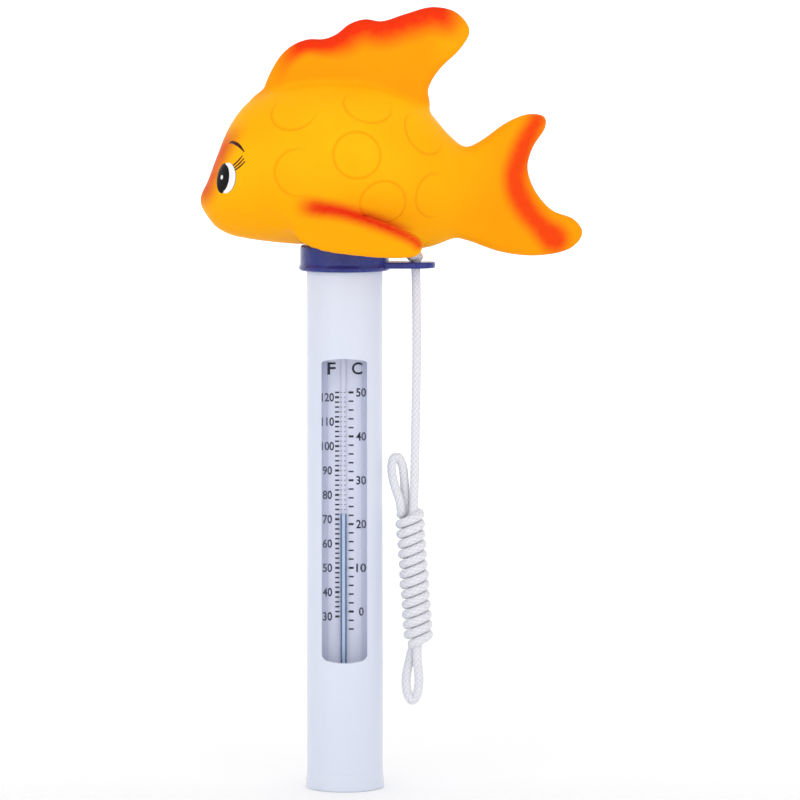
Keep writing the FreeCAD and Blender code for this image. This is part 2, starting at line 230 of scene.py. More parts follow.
def make_stage():
    """Pale round floor that curves up into a pale wall all round, and soft lights."""
    turn = 2 * np.pi * np.arange(FLOOR_SEGMENTS) / FLOOR_SEGMENTS
    profile = floor_profile()
    verts = np.array([(r * math.cos(a), r * math.sin(a), z) for r, z in profile for a in turn])
    faces = grid_faces(len(profile), FLOOR_SEGMENTS)
    faces.append(tuple(range(FLOOR_SEGMENTS)))
    floor = mesh_object("studio_floor", verts, faces)
    point_attribute(floor, "glow", floor_glow(verts))
    floor.data.materials.append(paper_material())
    world = bpy.data.worlds.new("studio")
    world.use_nodes = True
    surround = world.node_tree.nodes["Background"]
    surround.inputs["Color"].default_value = (1.0, 1.0, 1.0, 1)
    surround.inputs["Strength"].default_value = SURROUND_LIGHT
    scene = bpy.context.scene
    scene.world = world
    scene.view_settings.view_transform = "Standard"
    scene.cycles.transparent_max_bounces = TRANSPARENT_LAYERS
    soft_light("left_softbox", -40, 10, 1.1, (1.1, 1.2), 1.5)
    soft_light("right_softbox", 44, 10, 1.1, (1.1, 1.2), 1.15)
    soft_light("top_softbox", 0, 78, 1.2, (1.2, 1.0), 1.75)


# ---------------------------------------------------------------- materials

class Paint:
    """A Principled material with short ways to add what its surface shows."""

    def __init__(self, name, colour, roughness, **sockets):
        self.material = bpy.data.materials.new(name)
        self.material.use_nodes = True
        self.tree = self.material.node_tree
        self.shader = self.tree.nodes["Principled BSDF"]
        self.shader.inputs["Base Color"].default_value = (*colour, 1)
        self.shader.inputs["Roughness"].default_value = roughness
        for socket, value in sockets.items():
            self.shader.inputs[socket.replace("_", " ")].default_value = value
        self.coords = self.tree.nodes.new("ShaderNodeTexCoord").outputs["Object"]
        self.last_normal = None

    def node(self, kind, **values):
        made = self.tree.nodes.new(kind)
        for key, value in values.items():
            setattr(made, key, value)
        return made

    def link(self, source, target):
        self.tree.links.new(source, target)

    def noise(self, scale, detail=4.0, stretch=(1, 1, 1), rough=0.5):
        mapping = self.node("ShaderNodeMapping")
        mapping.inputs["Scale"].default_value = stretch
        self.link(self.coords, mapping.inputs["Vector"])
        noise = self.node("ShaderNodeTexNoise")
        noise.inputs["Scale"].default_value = scale
        noise.inputs["Detail"].default_value = detail
        noise.inputs["Roughness"].default_value = rough
        self.link(mapping.outputs["Vector"], noise.inputs["Vector"])
        return noise.outputs["Fac"]

    def attribute(self, name):
        return self.node("ShaderNodeAttribute", attribute_name=name).outputs["Fac"]

    def ramp(self, source, low, high, start, end):
        """Maps source from low..high to start..end, clamped."""
        made = self.node("ShaderNodeMapRange")
        made.inputs["From Min"].default_value = low
        made.inputs["From Max"].default_value = high
        made.inputs["To Min"].default_value = start
        made.inputs["To Max"].default_value = end
        self.link(source, made.inputs["Value"])
        return made.outputs["Result"]

    def math(self, operation, a, b):
        made = self.node("ShaderNodeMath", operation=operation)
        for index, value in enumerate((a, b)):
            if isinstance(value, (int, float)):
                made.inputs[index].default_value = value
            else:
                self.link(value, made.inputs[index])
        return made.outputs[0]

    def mix(self, factor, first, second):
        made = self.node("ShaderNodeMix", data_type="RGBA")
        if isinstance(factor, (int, float)):
            made.inputs[0].default_value = factor
        else:
            self.link(factor, made.inputs[0])
        for index, value in ((6, first), (7, second)):
            if isinstance(value, tuple):
                made.inputs[index].default_value = (*value, 1)
            else:
                self.link(value, made.inputs[index])
        return made.outputs[2]

    def colour(self, source):
        self.link(source, self.shader.inputs["Base Color"])

    def roughness(self, source):
        self.link(source, self.shader.inputs["Roughness"])

    def bump(self, source, distance_mm, strength=1.0):
        made = self.node("ShaderNodeBump")
        made.inputs["Distance"].default_value = distance_mm * MM
        made.inputs["Strength"].default_value = strength
        self.link(source, made.inputs["Height"])
        if self.last_normal is not None:
            self.link(self.last_normal, made.inputs["Normal"])
        self.link(made.outputs["Normal"], self.shader.inputs["Normal"])
        self.last_normal = made.outputs["Normal"]


def finish_node(node, paint):
    """Gives a CAD node its material."""
    mesh = NODES[node].data
    mesh.materials.clear()
    mesh.materials.append(paint.material)


def dress(obj, paint, body):
    """Material and body of a new piece."""
    obj.data.materials.append(paint.material)
    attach(obj, body)
    return obj


def moulded_plastic(name, colour, shade, roughness, coat):
    """Smooth injection-moulded plastic: faint flow marks, fine texture, uneven gloss."""
    paint = Paint(name, colour, roughness, Coat_Weight=coat, Coat_Roughness=0.12, IOR=1.35)
    paint.colour(paint.mix(paint.ramp(paint.noise(45, 5, (1, 1, 0.35)), 0.35, 0.7, 0, 1), colour, shade))
    paint.roughness(paint.ramp(paint.noise(220, 4), 0.3, 0.7, roughness - 0.04, roughness + 0.06))
    paint.bump(paint.noise(900, 3), 0.012, 0.5)
    paint.bump(paint.noise(60, 2, (1, 1, 0.3)), 0.05, 0.35)
    return paint


def clear_glass(name, tint, roughness, facing, grazing):
    """Thin clear glass: sees straight through, mirrors the lights more towards its edges."""
    paint = Paint(name, tint, roughness, Metallic=1.0, Alpha=facing)
    fresnel = paint.node("ShaderNodeFresnel")
    fresnel.inputs["IOR"].default_value = 1.47
    paint.link(paint.ramp(fresnel.outputs[0], 0.04, 0.6, facing, grazing), paint.shader.inputs["Alpha"])
    paint.roughness(paint.ramp(paint.noise(120, 3), 0.4, 0.75, roughness, roughness + 0.03))
    paint.bump(paint.noise(25, 2, (1, 1, 0.2)), 0.01, 0.3)
    return paint


def rubber(name, colour, shade):
    paint = Paint(name, colour, 0.75)
    paint.colour(paint.mix(paint.noise(160, 5), colour, shade))
    paint.bump(paint.noise(700, 4), 0.05, 0.6)
    return paint


def brushed_metal(name, colour):
    paint = Paint(name, colour, 0.35, Metallic=1.0)
    paint.roughness(paint.ramp(paint.noise(300, 4, (1, 1, 12)), 0.3, 0.7, 0.28, 0.5))
    paint.bump(paint.noise(500, 3, (1, 1, 14)), 0.01, 0.5)
    return paint


# ---------------------------------------------------------------- cord

CORD_D = 3.0
CORD_R = CORD_D / 2
KNOT_STRAND_R = 1.15
HANG_ROUTE = [                         # the CAD tube's route, top to bottom
    (22.4, 0.0, 166.9),
    (22.9, 0.0, 145.0),
    (22.4, -0.4, 116.5),
    (21.9, -0.1, 89.0),
]
LOW_BIGHT = [
    (22.9, -1.2, 43.5), (22.9, -1.1, 40.4), (23.4, -0.5, 36.8), (23.5, -0.1, 32.8),
    (22.9, 0.1, 29.2), (21.4, 0.1, 27.0), (19.9, 0.1, 29.2), (19.3, 0.2, 32.8),
    (19.6, 0.6, 36.8), (20.6, 1.1, 40.4), (21.2, 1.2, 43.8),
]
TOP_BIGHT = [
    (19.2, 1.4, 89.5), (19.1, 1.3, 93.5), (18.8, 1.1, 97.8), (18.5, 0.8, 101.6),
    (17.4, 0.3, 104.9), (15.5, -0.3, 105.4), (14.7, -0.8, 102.4), (15.1, -1.1, 98.6),
    (16.2, -1.3, 94.6), (17.4, -1.5, 91.6),
]
WRAP_TOP = 88.0
WRAP_FOOT = 46.4
WRAP_TURNS = 13
WRAP_POINTS = 12
WRAP_HALF_X = 3.35
WRAP_HALF_Y = 3.7
WRAP_START = math.radians(200)
WRAP_SLANT = 0.9
WRAP_UNEVEN = 0.035


def hank_axis_x(z):
    """The wound cord leans: its middle moves towards +X on the way down."""
    return 23.55 - 0.072 * (z - 44.6)


def core_run(start_z, end_z, y, count):
    """A straight strand inside the winding."""
    return [(hank_axis_x(z) + 0.15 * (-1) ** i, y, z)
            for i, z in enumerate(np.linspace(start_z, end_z, count))]


def wrap_turns():
    """The winding round the two inner strands, top to bottom, a little uneven."""
    points = []
    total = WRAP_TURNS * WRAP_POINTS
    swell = 1 + WRAP_UNEVEN * RNG.standard_normal(WRAP_TURNS + 1)
    for i in range(total + 1):
        share = i / total
        turn = i // WRAP_POINTS
        blend = i % WRAP_POINTS / WRAP_POINTS
        grow = swell[turn] * (1 - blend) + swell[min(turn + 1, WRAP_TURNS)] * blend
        angle = WRAP_START - 2 * math.pi * i / WRAP_POINTS
        z = WRAP_TOP + (WRAP_FOOT - WRAP_TOP) * share
        end = min(1.0, 0.8 + 1.4 * min(share, 1 - share) / 0.15)
        x = hank_axis_x(z) + WRAP_HALF_X * grow * end * math.cos(angle)
        y = WRAP_HALF_Y * grow * end * math.sin(angle)
        points.append((x, y, z + WRAP_SLANT * math.cos(angle)))
    return points


def cord_points():
    """The whole cord's control points, from the knot to its tucked-in end."""
    foot = hank_axis_x(WRAP_FOOT)
    points = list(HANG_ROUTE)
    points += core_run(82.0, 48.0, -1.4, 4) + LOW_BIGHT
    points += core_run(48.0, 84.0, 1.4, 4) + TOP_BIGHT
    points += wrap_turns()
    points += [(foot + 1.2, 1.0, 46.6), (foot + 0.2, -0.2, 49.5), (foot, 0.1, 54.0)]
    return points


def cord_line(points):
    """The route's smooth line, read from a NURBS curve with those control points."""
    curve = bpy.data.curves.new("cord_route", "CURVE")
    curve.dimensions = "3D"
    curve.resolution_u = 10
    spline = curve.splines.new("NURBS")
    spline.points.add(len(points) - 1)
    for target, point in zip(spline.points, points):
        target.co = (*(c * MM for c in point), 1)
    spline.order_u = 3
    spline.use_endpoint_u = True
    holder = bpy.data.objects.new("cord_route", curve)
    bpy.context.scene.collection.objects.link(holder)
    bpy.context.view_layer.update()
    mesh = bpy.data.meshes.new_from_object(holder)
    line = np.array([v.co for v in mesh.vertices]) / MM
    bpy.data.objects.remove(holder)
    bpy.data.meshes.remove(mesh)
    return line


BRAID_STRANDS = 6
BRAID_PITCH = 10.5
BRAID_RELIEF = 0.2
BRAID_STEP = 0.3


def braid_height(around, along):
    """Height of the plaited surface, 0 in the gaps to 1 on a strand's back."""
    a = around * BRAID_STRANDS + along / BRAID_PITCH * BRAID_STRANDS
    b = around * BRAID_STRANDS - along / BRAID_PITCH * BRAID_STRANDS
    cell_a, cell_b = np.floor(a), np.floor(b)
    fa, fb = a - cell_a, b - cell_b
    over = np.mod(cell_a + cell_b, 2) < 1
    across = np.where(over, fa, fb)
    lengthways = np.where(over, fb, fa)
    return np.sqrt(np.sin(np.pi * across)) * (0.45 + 0.55 * np.sin(np.pi * lengthways))


def braided_tube(name, line, radius, around=30):
    """Round cord with a plaited surface along a line, closed at both ends."""
    points, along = resample(line, BRAID_STEP)
    tangent, side, up = carried_frames(points)
    turn = np.arange(around) / around
    height = braid_height(turn[None, :], along[:, None])
    r = radius - BRAID_RELIEF * (1 - height)
    angle = 2 * np.pi * turn
    offset = (side[:, None, :] * np.cos(angle)[None, :, None]
              + up[:, None, :] * np.sin(angle)[None, :, None]) * r[:, :, None]
    verts = (points[:, None, :] + offset).reshape(-1, 3)
    faces = grid_faces(len(points), around)
    first, last = len(verts), len(verts) + 1
    verts = np.vstack([verts, points[0] - tangent[0] * 0.4, points[-1] + tangent[-1] * 0.4])
    base = (len(points) - 1) * around
    for j in range(around):
        k = (j + 1) % around
        faces.append((first, k, j))
        faces.append((last, base + j, base + k))
    obj = mesh_object(name, verts, faces)
    point_attribute(obj, "braid", np.concatenate([height.reshape(-1), [1.0, 1.0]]))
    return obj, points


def cord_paint():
    """White braided polyester: painted shade in the gaps between the strands, fibres across the strands,
    faint grey handling.
    """
    paint = Paint("braided_cord", (0.86, 0.86, 0.9), 0.8, Sheen_Weight=0.35, Sheen_Roughness=0.5)
    # Painted shade: the colour darkens in the gaps between the strands.
    gap_shade = paint.ramp(paint.attribute("braid"), 0.15, 0.8, 0, 1)
    tone = paint.mix(gap_shade, (0.62, 0.62, 0.68), (0.80, 0.80, 0.84))
    paint.colour(paint.mix(paint.ramp(paint.noise(90, 4), 0.55, 0.8, 0, 0.35), tone, (0.70, 0.70, 0.75)))
    paint.bump(paint.noise(2600, 3), 0.06, 0.7)
    return paint


def knot_line():
    """Three-lobed knot, flattened to fit between the lug and the fish."""
    low, high = box_mm("cord_knot")
    centre = (low + high) / 2
    t = np.linspace(0, 2 * np.pi, 160)
    reach = (high[0] - low[0]) / 2 - KNOT_STRAND_R
    rise = (high[2] - low[2]) / 2 - KNOT_STRAND_R
    x = centre[0] + reach / 3 * (np.sin(t) + 2 * np.sin(2 * t))
    y = centre[1] + reach / 3 * (np.cos(t) - 2 * np.cos(2 * t))
    z = centre[2] - rise * np.sin(3 * t)
    return np.stack([x, y, z], axis=1)


def make_cord():
    paint = cord_paint()
    line = cord_line(cord_points())
    cord, path = braided_tube("tether_cord_braid", line, CORD_R)
    knot, _ = braided_tube("tether_knot", knot_line(), KNOT_STRAND_R, around=20)
    for piece in (cord, knot):
        dress(piece, paint, "case")
    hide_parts("tether_cord", "cord_hank")
    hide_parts("cord_knot")


# ---------------------------------------------------------------- fish

NOSE_X = -45.3
TAIL_STUB_X = 54.0
BODY_SECTIONS = [            # x, belly z, back z, half width
    (-44.8, 184.0, 188.5, 3.2), (-43.2, 181.3, 191.8, 7.4), (-40.5, 178.0, 198.9, 12.0),
    (-36.8, 175.8, 208.0, 16.0), (-32.0, 174.5, 215.2, 19.8), (-25.0, 173.4, 220.0, 23.0),
    (-15.0, 172.5, 222.6, 25.6), (-4.0, 172.1, 223.4, 26.5), (8.0, 171.6, 222.6, 25.6),
    (18.0, 171.0, 219.6, 22.4), (26.0, 171.4, 214.6, 17.4), (32.5, 173.6, 207.2, 12.8),
    (38.0, 175.8, 202.5, 9.4), (44.0, 178.4, 200.8, 6.6), (50.0, 181.8, 198.0, 4.2),
]
DORSAL_OUTLINE = [
    (-27.0, 215.4), (-25.2, 221.6), (-23.0, 226.8), (-20.0, 231.6), (-16.2, 234.9), (-11.5, 236.7),
    (-6.5, 236.8), (-2.4, 238.4), (1.6, 241.5), (6.5, 243.0), (12.0, 242.4), (19.0, 244.6),
    (27.4, 246.8), (35.0, 245.2), (39.3, 239.6), (36.4, 233.7), (30.0, 227.4), (26.4, 221.4),
    (24.6, 213.0), (0.0, 207.0),
]
TAIL_OUTLINE = [
    (34.0, 200.4), (38.2, 202.5), (43.5, 205.4), (50.5, 210.4), (57.2, 213.2), (62.6, 212.6),
    (63.0, 208.8), (59.2, 202.8), (57.6, 196.2), (60.0, 189.2), (65.2, 183.2), (72.0, 180.4),
    (74.9, 175.8), (70.6, 170.8), (60.5, 168.8), (50.0, 169.8), (41.0, 172.8), (35.0, 176.0),
    (30.0, 188.0),
]
PECTORAL_OUTLINE = [
    (-14.0, 181.4), (-9.0, 185.2), (0.0, 184.0), (9.0, 181.2), (17.0, 178.0), (22.6, 175.4),
    (24.5, 172.4), (22.8, 169.2), (17.0, 168.5), (9.0, 169.0), (0.0, 170.2), (-7.0, 171.6),
    (-13.0, 174.2), (-15.6, 178.0),
]
PECTORAL_ROOT = (-14.0, -22.6, 182.0)
PECTORAL_SWEEP = 7.0
PECTORAL_LEAN = 14.0
PECTORAL_HALF = 2.0
DORSAL_CREASE = [(-27.0, 219.0), (-19.0, 222.6), (-8.0, 224.0), (4.0, 223.6), (14.0, 221.2), (24.0, 216.5)]
TAIL_BAND = [(60.6, 211.4), (56.4, 203.4), (53.7, 193.5), (56.2, 185.2), (61.5, 178.4), (66.0, 174.2)]
FACE_EDGE = [                # front of the face, where the blush starts
    (-45.6, 178.0), (-45.9, 185.0), (-44.6, 190.0), (-42.4, 196.0), (-39.0, 203.0), (-34.0, 211.0),
    (-28.0, 218.0),
]
PECTORAL_RIDGE = [           # crest of the side fin, sprayed red
    (-17.0, 185.4), (-10.8, 185.0), (-5.0, 184.3), (1.0, 183.2), (9.0, 180.6), (17.0, 177.4),
    (22.0, 174.8), (24.3, 171.8),
]
SCALES = [                   # x, z, radius, and the direction (x, z) in which the rim fades out
    (-15.6, 214.6, 7.1, 0.3, 0.9), (7.6, 216.8, 7.6, 0.3, 0.9), (-14.1, 195.6, 7.4, 0.7, 0.0),
    (4.3, 201.2, 7.4, 0.0, 0.0), (25.2, 208.0, 7.4, 0.7, 0.7), (12.3, 186.0, 7.2, 0.0, 0.0),
    (28.6, 188.1, 7.1, 0.9, 0.0),
]
SCALE_DEPTH = 0.3
SCALE_WIDTH = 0.36
FISH_STEP = 1.0
MESH_MARGIN_LOW = 3.13       # keeps the grid off the surface's flat places
MESH_MARGIN_HIGH = 3.0
COLLAR_SEAT = (14.35, 172.6)     # radius and top of the recess for the collar
PLUG_POCKET = (8.5, 187.2)       # radius and top of the pocket for the plug
DORSAL_RIM = 4.2
TAIL_RIM = 3.6
PECTORAL_RIM = 2.4
DORSAL_BLEND = 2.0
TAIL_BLEND = 2.2
PECTORAL_BLEND = 2.2
PECTORAL_FRONT_BLEND = 4.5
PECTORAL_FRONT_SINK = 1.1


def hermite(x, stations, values):
    """Smooth curve through the stations, held straight beyond its ends."""
    slope = np.gradient(values, stations)
    k = np.clip(np.searchsorted(stations, x) - 1, 0, len(stations) - 2)
    span = stations[k + 1] - stations[k]
    t = np.clip((x - stations[k]) / span, 0, 1)
    inside = ((2 * t ** 3 - 3 * t ** 2 + 1) * values[k] + (t ** 3 - 2 * t ** 2 + t) * span * slope[k]
              + (3 * t ** 2 - 2 * t ** 3) * values[k + 1] + (t ** 3 - t ** 2) * span * slope[k + 1])
    return inside + slope[0] * np.minimum(x - stations[0], 0) + slope[-1] * np.maximum(x - stations[-1], 0)


class Outline:
    """Signed distance to a smooth closed outline, read from a fine flat grid."""

    STEP = 0.5
    MARGIN = 14.0

    def __init__(self, points):
        edge = smooth_curve(points, closed=True, per_span=6)
        self.low = edge.min(axis=0) - self.MARGIN
        count = np.ceil((edge.max(axis=0) + self.MARGIN - self.low) / self.STEP).astype(int) + 1
        u, v = (np.arange(n) * self.STEP + l for n, l in zip(count, self.low))
        spot = np.stack(np.meshgrid(u, v, indexing="ij"), axis=-1)
        best = np.full(spot.shape[:2], 1e9)
        inside = np.zeros(spot.shape[:2], bool)
        for a, b in zip(edge, np.roll(edge, -1, axis=0)):
            ab = b - a
            t = np.clip(((spot - a) @ ab) / max(ab @ ab, 1e-12), 0, 1)
            best = np.minimum(best, np.linalg.norm(spot - a - t[..., None] * ab, axis=-1))
            if a[1] != b[1]:
                crosses = (a[1] > spot[..., 1]) != (b[1] > spot[..., 1])
                inside ^= crosses & (spot[..., 0] < a[0] + (spot[..., 1] - a[1]) * ab[0] / ab[1])
        self.grid = np.where(inside, -best, best)
        self.count = count

    def __call__(self, u, v):
        a = np.clip((u - self.low[0]) / self.STEP, 0, self.count[0] - 1.001)
        b = np.clip((v - self.low[1]) / self.STEP, 0, self.count[1] - 1.001)
        i, j = a.astype(int), b.astype(int)
        s, t = a - i, b - j
        g = self.grid
        return ((g[i, j] * (1 - s) + g[i + 1, j] * s) * (1 - t)
                + (g[i, j + 1] * (1 - s) + g[i + 1, j + 1] * s) * t)


def distance_to_curve(points, u, v):
    """Distance to an open smooth curve, and the share of its length where it is nearest."""
    line = smooth_curve(points)
    best = np.full(np.shape(u), 1e9)
    share = np.zeros(np.shape(u))
    for i, (a, b) in enumerate(zip(line, line[1:])):
        ab = b - a
        t = np.clip(((u - a[0]) * ab[0] + (v - a[1]) * ab[1]) / (ab @ ab), 0, 1)
        far = np.hypot(u - a[0] - t * ab[0], v - a[1] - t * ab[1])
        share = np.where(far < best, (i + t) / (len(line) - 1), share)
        best = np.minimum(best, far)
    return best, share


def smooth_union(a, b, k):
    h = np.clip(0.5 + 0.5 * (b - a) / k, 0, 1)
    return b * (1 - h) + a * h - k * h * (1 - h)


def pillow(across, edge, half, rim):
    """Distance to a plate with a full rounded rim: across is from its middle plane."""
    inner = np.maximum(edge + rim, 0) / rim
    value = inner ** 2 + (across / half) ** 2
    slope = 2 * np.sqrt((inner / rim) ** 2 + (across / half ** 2) ** 2)
    return (value - 1) / np.maximum(slope, 0.05)


class FishShape:
    """The fish as one smooth field: negative inside, about a distance near the surface."""

    def __init__(self):
        x, belly, back, width = np.array(BODY_SECTIONS).T
        height = (back - belly) / 2
        self.x = x
        self.middle = (back + belly) / 2
        self.ratio = height / width
        self.ends = np.concatenate([[NOSE_X], x, [TAIL_STUB_X]])
        self.area = np.concatenate([[0.0], height * width, [0.0]])
        self.fine = np.arange(-60, 90, 0.1)
        self.tables = [hermite(self.fine, self.x, self.middle), hermite(self.fine, self.x, self.ratio),
                       hermite(self.fine, self.ends, self.area)]
        for table in self.tables[:2]:
            table[self.fine < x[0]] = table[self.fine >= x[0]][0]
            table[self.fine > x[-1]] = table[self.fine <= x[-1]][-1]
        self.slopes = [np.gradient(table, self.fine) for table in self.tables]
        self.dorsal = Outline(DORSAL_OUTLINE)
        self.tail = Outline(TAIL_OUTLINE)
        self.pectoral = Outline(PECTORAL_OUTLINE)

    def body(self, p):
        x, y, z = p.T
        middle, ratio, area = (np.interp(x, self.fine, t) for t in self.tables)
        d_middle, d_ratio, d_area = (np.interp(x, self.fine, t) for t in self.slopes)
        up = z - middle
        value = y ** 2 * ratio + up ** 2 / ratio - area
        along = y ** 2 * d_ratio - 2 * up * d_middle / ratio - up ** 2 * d_ratio / ratio ** 2 - d_area
        slope = np.sqrt(along ** 2 + (2 * y * ratio) ** 2 + (2 * up / ratio) ** 2)
        return value / np.maximum(slope, 6.0)

    def pectoral_spot(self, p):
        """Along, out and up in the side fin's own plane; both sides alike."""
        x = p[:, 0] - PECTORAL_ROOT[0]
        y = -np.abs(p[:, 1]) - PECTORAL_ROOT[1]
        z = p[:, 2] - PECTORAL_ROOT[2]
        c, s = math.cos(math.radians(PECTORAL_LEAN)), math.sin(math.radians(PECTORAL_LEAN))
        y, z = y * c - z * s, y * s + z * c
        c, s = math.cos(math.radians(PECTORAL_SWEEP)), math.sin(math.radians(PECTORAL_SWEEP))
        x, y = x * c - y * s, x * s + y * c
        return x + PECTORAL_ROOT[0], y, z + PECTORAL_ROOT[2]

    def __call__(self, p):
        x, y, z = p.T
        whole = self.body(p)
        thick = 2.6 + 2.6 * smoothstep(236, 214, z)
        whole = smooth_union(whole, pillow(y, self.dorsal(x, z), thick, DORSAL_RIM), DORSAL_BLEND)
        thick = 2.7 + 2.2 * smoothstep(60, 38, x)
        whole = smooth_union(whole, pillow(y, self.tail(x, z), thick, TAIL_RIM), TAIL_BLEND)
        along, out, up = self.pectoral_spot(p)
        front = smoothstep(4, -14, along)
        fin = pillow(out - PECTORAL_HALF - PECTORAL_FRONT_SINK * front, self.pectoral(along, up),
                     PECTORAL_HALF * (1 - 0.5 * front), PECTORAL_RIM)
        whole = smooth_union(whole, fin, PECTORAL_BLEND + PECTORAL_FRONT_BLEND * front)
        radius = np.hypot(x, y)
        seat = np.maximum(radius - COLLAR_SEAT[0], z - COLLAR_SEAT[1])
        pocket = np.maximum(radius - PLUG_POCKET[0], z - PLUG_POCKET[1])
        return np.maximum(whole, -np.minimum(seat, pocket))

    def gradient(self, p, reach=0.15):
        out = np.zeros_like(p)
        for axis in range(3):
            step = np.zeros(3)
            step[axis] = reach
            out[:, axis] = (self(p + step) - self(p - step)) / (2 * reach)
        return out

    def outward(self, p):
        """Unit vectors square to the surface."""
        g = self.gradient(p)
        return g / np.maximum(np.linalg.norm(g, axis=1), 1e-6)[:, None]

    def settle(self, p, rounds=3):
        """Moves points on to the surface."""
        for _ in range(rounds):
            g = self.gradient(p)
            move = -(self(p) / np.maximum((g ** 2).sum(axis=1), 0.1))[:, None] * g
            reach = np.linalg.norm(move, axis=1, keepdims=True)
            p = p + move * np.minimum(1, 0.8 / np.maximum(reach, 1e-9))
        return p

    def flank(self, x, z, side):
        """Points of the flank straight across from (x, z), on the -Y or +Y side."""
        inner, outer = np.zeros_like(x), np.full_like(x, 32.0)
        for _ in range(26):
            y = (inner + outer) / 2
            solid = self(np.stack([x, y * side, z], axis=1)) < 0
            inner = np.where(solid, y, inner)
            outer = np.where(solid, outer, y)
        return np.stack([x, inner * side, z], axis=1)


def surface_net(field, low, high, step):
    """Closed quad mesh of the surface where the field is zero."""
    axes = [np.arange(a, b + step, step) for a, b in zip(low, high)]
    grid = np.stack(np.meshgrid(*axes, indexing="ij"), axis=-1)
    value = field(grid.reshape(-1, 3)).reshape(grid.shape[:3])
    cells = tuple(n - 1 for n in value.shape)
    total = np.zeros(cells + (3,))
    count = np.zeros(cells)
    crossings = []
    for axis in range(3):
        first = [slice(None)] * 3
        second = [slice(None)] * 3
        first[axis], second[axis] = slice(0, -1), slice(1, None)
        a, b = value[tuple(first)], value[tuple(second)]
        crossed = (a < 0) != (b < 0)
        share = np.where(crossed, a / np.where(crossed, a - b, 1), 0)
        spot = grid[tuple(first)].copy()
        spot[..., axis] += share * step
        others = [k for k in range(3) if k != axis]
        for shift in ((0, 0), (0, 1), (1, 0), (1, 1)):
            window = [slice(None)] * 3
            for k, s in zip(others, shift):
                window[k] = slice(s, s + cells[k])
            window = tuple(window)
            total += spot[window] * crossed[window][..., None]
            count += crossed[window]
        crossings.append((axis, others, crossed, a < 0))
    used = count > 0
    index = np.full(cells, -1)
    index[used] = np.arange(used.sum())
    verts = total[used] / count[used][:, None]
    faces = []
    for axis, others, crossed, starts_inside in crossings:
        spots = np.argwhere(crossed)
        keep = np.all([(spots[:, k] > 0) & (spots[:, k] < value.shape[k] - 1) for k in others], axis=0)
        spots = spots[keep]
        ring = []
        for shift in ((1, 1), (0, 1), (0, 0), (1, 0)):
            cell = spots.copy()
            for k, s in zip(others, shift):
                cell[:, k] -= s
            ring.append(index[tuple(cell.T)])
        quads = np.stack(ring, axis=1)
        flip = starts_inside[tuple(spots.T)] == (axis == 1)
        quads[flip] = quads[flip][:, ::-1]
        faces.append(quads)
    return verts, np.concatenate(faces)


def scale_centres(shape):
    u, v = np.array(SCALES).T[:2]
    return np.vstack([shape.flank(u, v, -1), shape.flank(u, v, 1)])


def nearest_scale(points, centres):
    """How far each point is from the nearest moulded scale's rim, and how deep that rim is."""
    far = np.full(len(points), 99.0)
    depth = np.zeros(len(points))
    for centre, (_, _, radius, fade_x, fade_z) in zip(centres, SCALES + SCALES):
        off = np.abs(np.linalg.norm(points - centre, axis=1) - radius)
        toward = (points[:, 0] - centre[0]) * fade_x + (points[:, 2] - centre[2]) * fade_z
        strength = smoothstep(4.0, -3.5, toward) if fade_x or fade_z else 1.0
        depth = np.where(off < far, strength, depth)
        far = np.minimum(far, off)
    return far, depth


def refine_near_scales(obj, centres):
    """Splits the faces along the scales' rims finely enough for the groove."""
    mesh = obj.data
    points = mesh_points_mm(obj)
    far, _ = nearest_scale(points, centres)
    bm = bmesh.new()
    bm.from_mesh(mesh)
    bm.verts.ensure_lookup_table()
    near = far < 1.5
    edges = [e for e in bm.edges if near[e.verts[0].index] and near[e.verts[1].index]]
    bmesh.ops.subdivide_edges(bm, edges=edges, cuts=3, use_grid_fill=True)
    bm.to_mesh(mesh)
    bm.free()


def spray_masks(obj, shape):
    """Where the sprayed colours and the painted shade lie, 0 to 1 at each vertex."""
    points = mesh_points_mm(obj)
    x, y, z = points.T
    dorsal_edge = -shape.dorsal(x, z)
    above = smoothstep(-2.5, 1.5, distance_above_crease(x, z))
    front = smoothstep(37, 24, x)
    top_edge = distance_to_curve(DORSAL_OUTLINE[1:14], x, z)[0]
    reach = 6.0 + 5.0 * smoothstep(-12, 8, x)
    red = smoothstep(reach, 2.0, top_edge) * above * smoothstep(41, 30, x) * smoothstep(-23.5, -13, x)
    point_attribute(obj, "dorsal_red", red)
    # Orange paint on the dorsal fin; the mask reaches 2.5 mm below the crease at the fin's root, where the
    # deeper orange is painted shade in the valley.
    point_attribute(obj, "dorsal_orange_and_crease_shade", above * (0.5 + 0.5 * front) * (dorsal_edge > -3))
    band, share = distance_to_curve(TAIL_BAND, x, z)
    wide = 2.5 + 0.9 * np.sin(np.pi * share) + 1.6 * smoothstep(0.75, 1.0, share)
    point_attribute(obj, "tail_red", smoothstep(wide + 3.0, wide - 2.6, band))
    point_attribute(obj, "tail_orange", smoothstep(28, 52, x))
    # Painted shade: deeper orange towards the underside, which gets less light.
    point_attribute(obj, "underside_painted_shade", smoothstep(203, 178, z))
    back = np.interp(z, [s[1] for s in FACE_EDGE], [s[0] for s in FACE_EDGE])
    blush = smoothstep(7.2, 0.8, x - back) * smoothstep(182, 190, z) * smoothstep(213, 202, z)
    point_attribute(obj, "blush", blush)
    ridge, share = distance_to_curve(PECTORAL_RIDGE, x, z)
    on_flank = smoothstep(12, 17, np.abs(y))
    wide = 2.9 - 1.2 * share
    pectoral = smoothstep(wide + 2.1 - 0.8 * share, wide - 2.4, ridge) * on_flank
    pectoral *= smoothstep(0.0, 0.22, share) * smoothstep(1.0, 0.93, share)
    point_attribute(obj, "pectoral_red", pectoral)


def distance_above_crease(x, z):
    line = smooth_curve(DORSAL_CREASE)
    return z - np.interp(x, line[:, 0], line[:, 1])


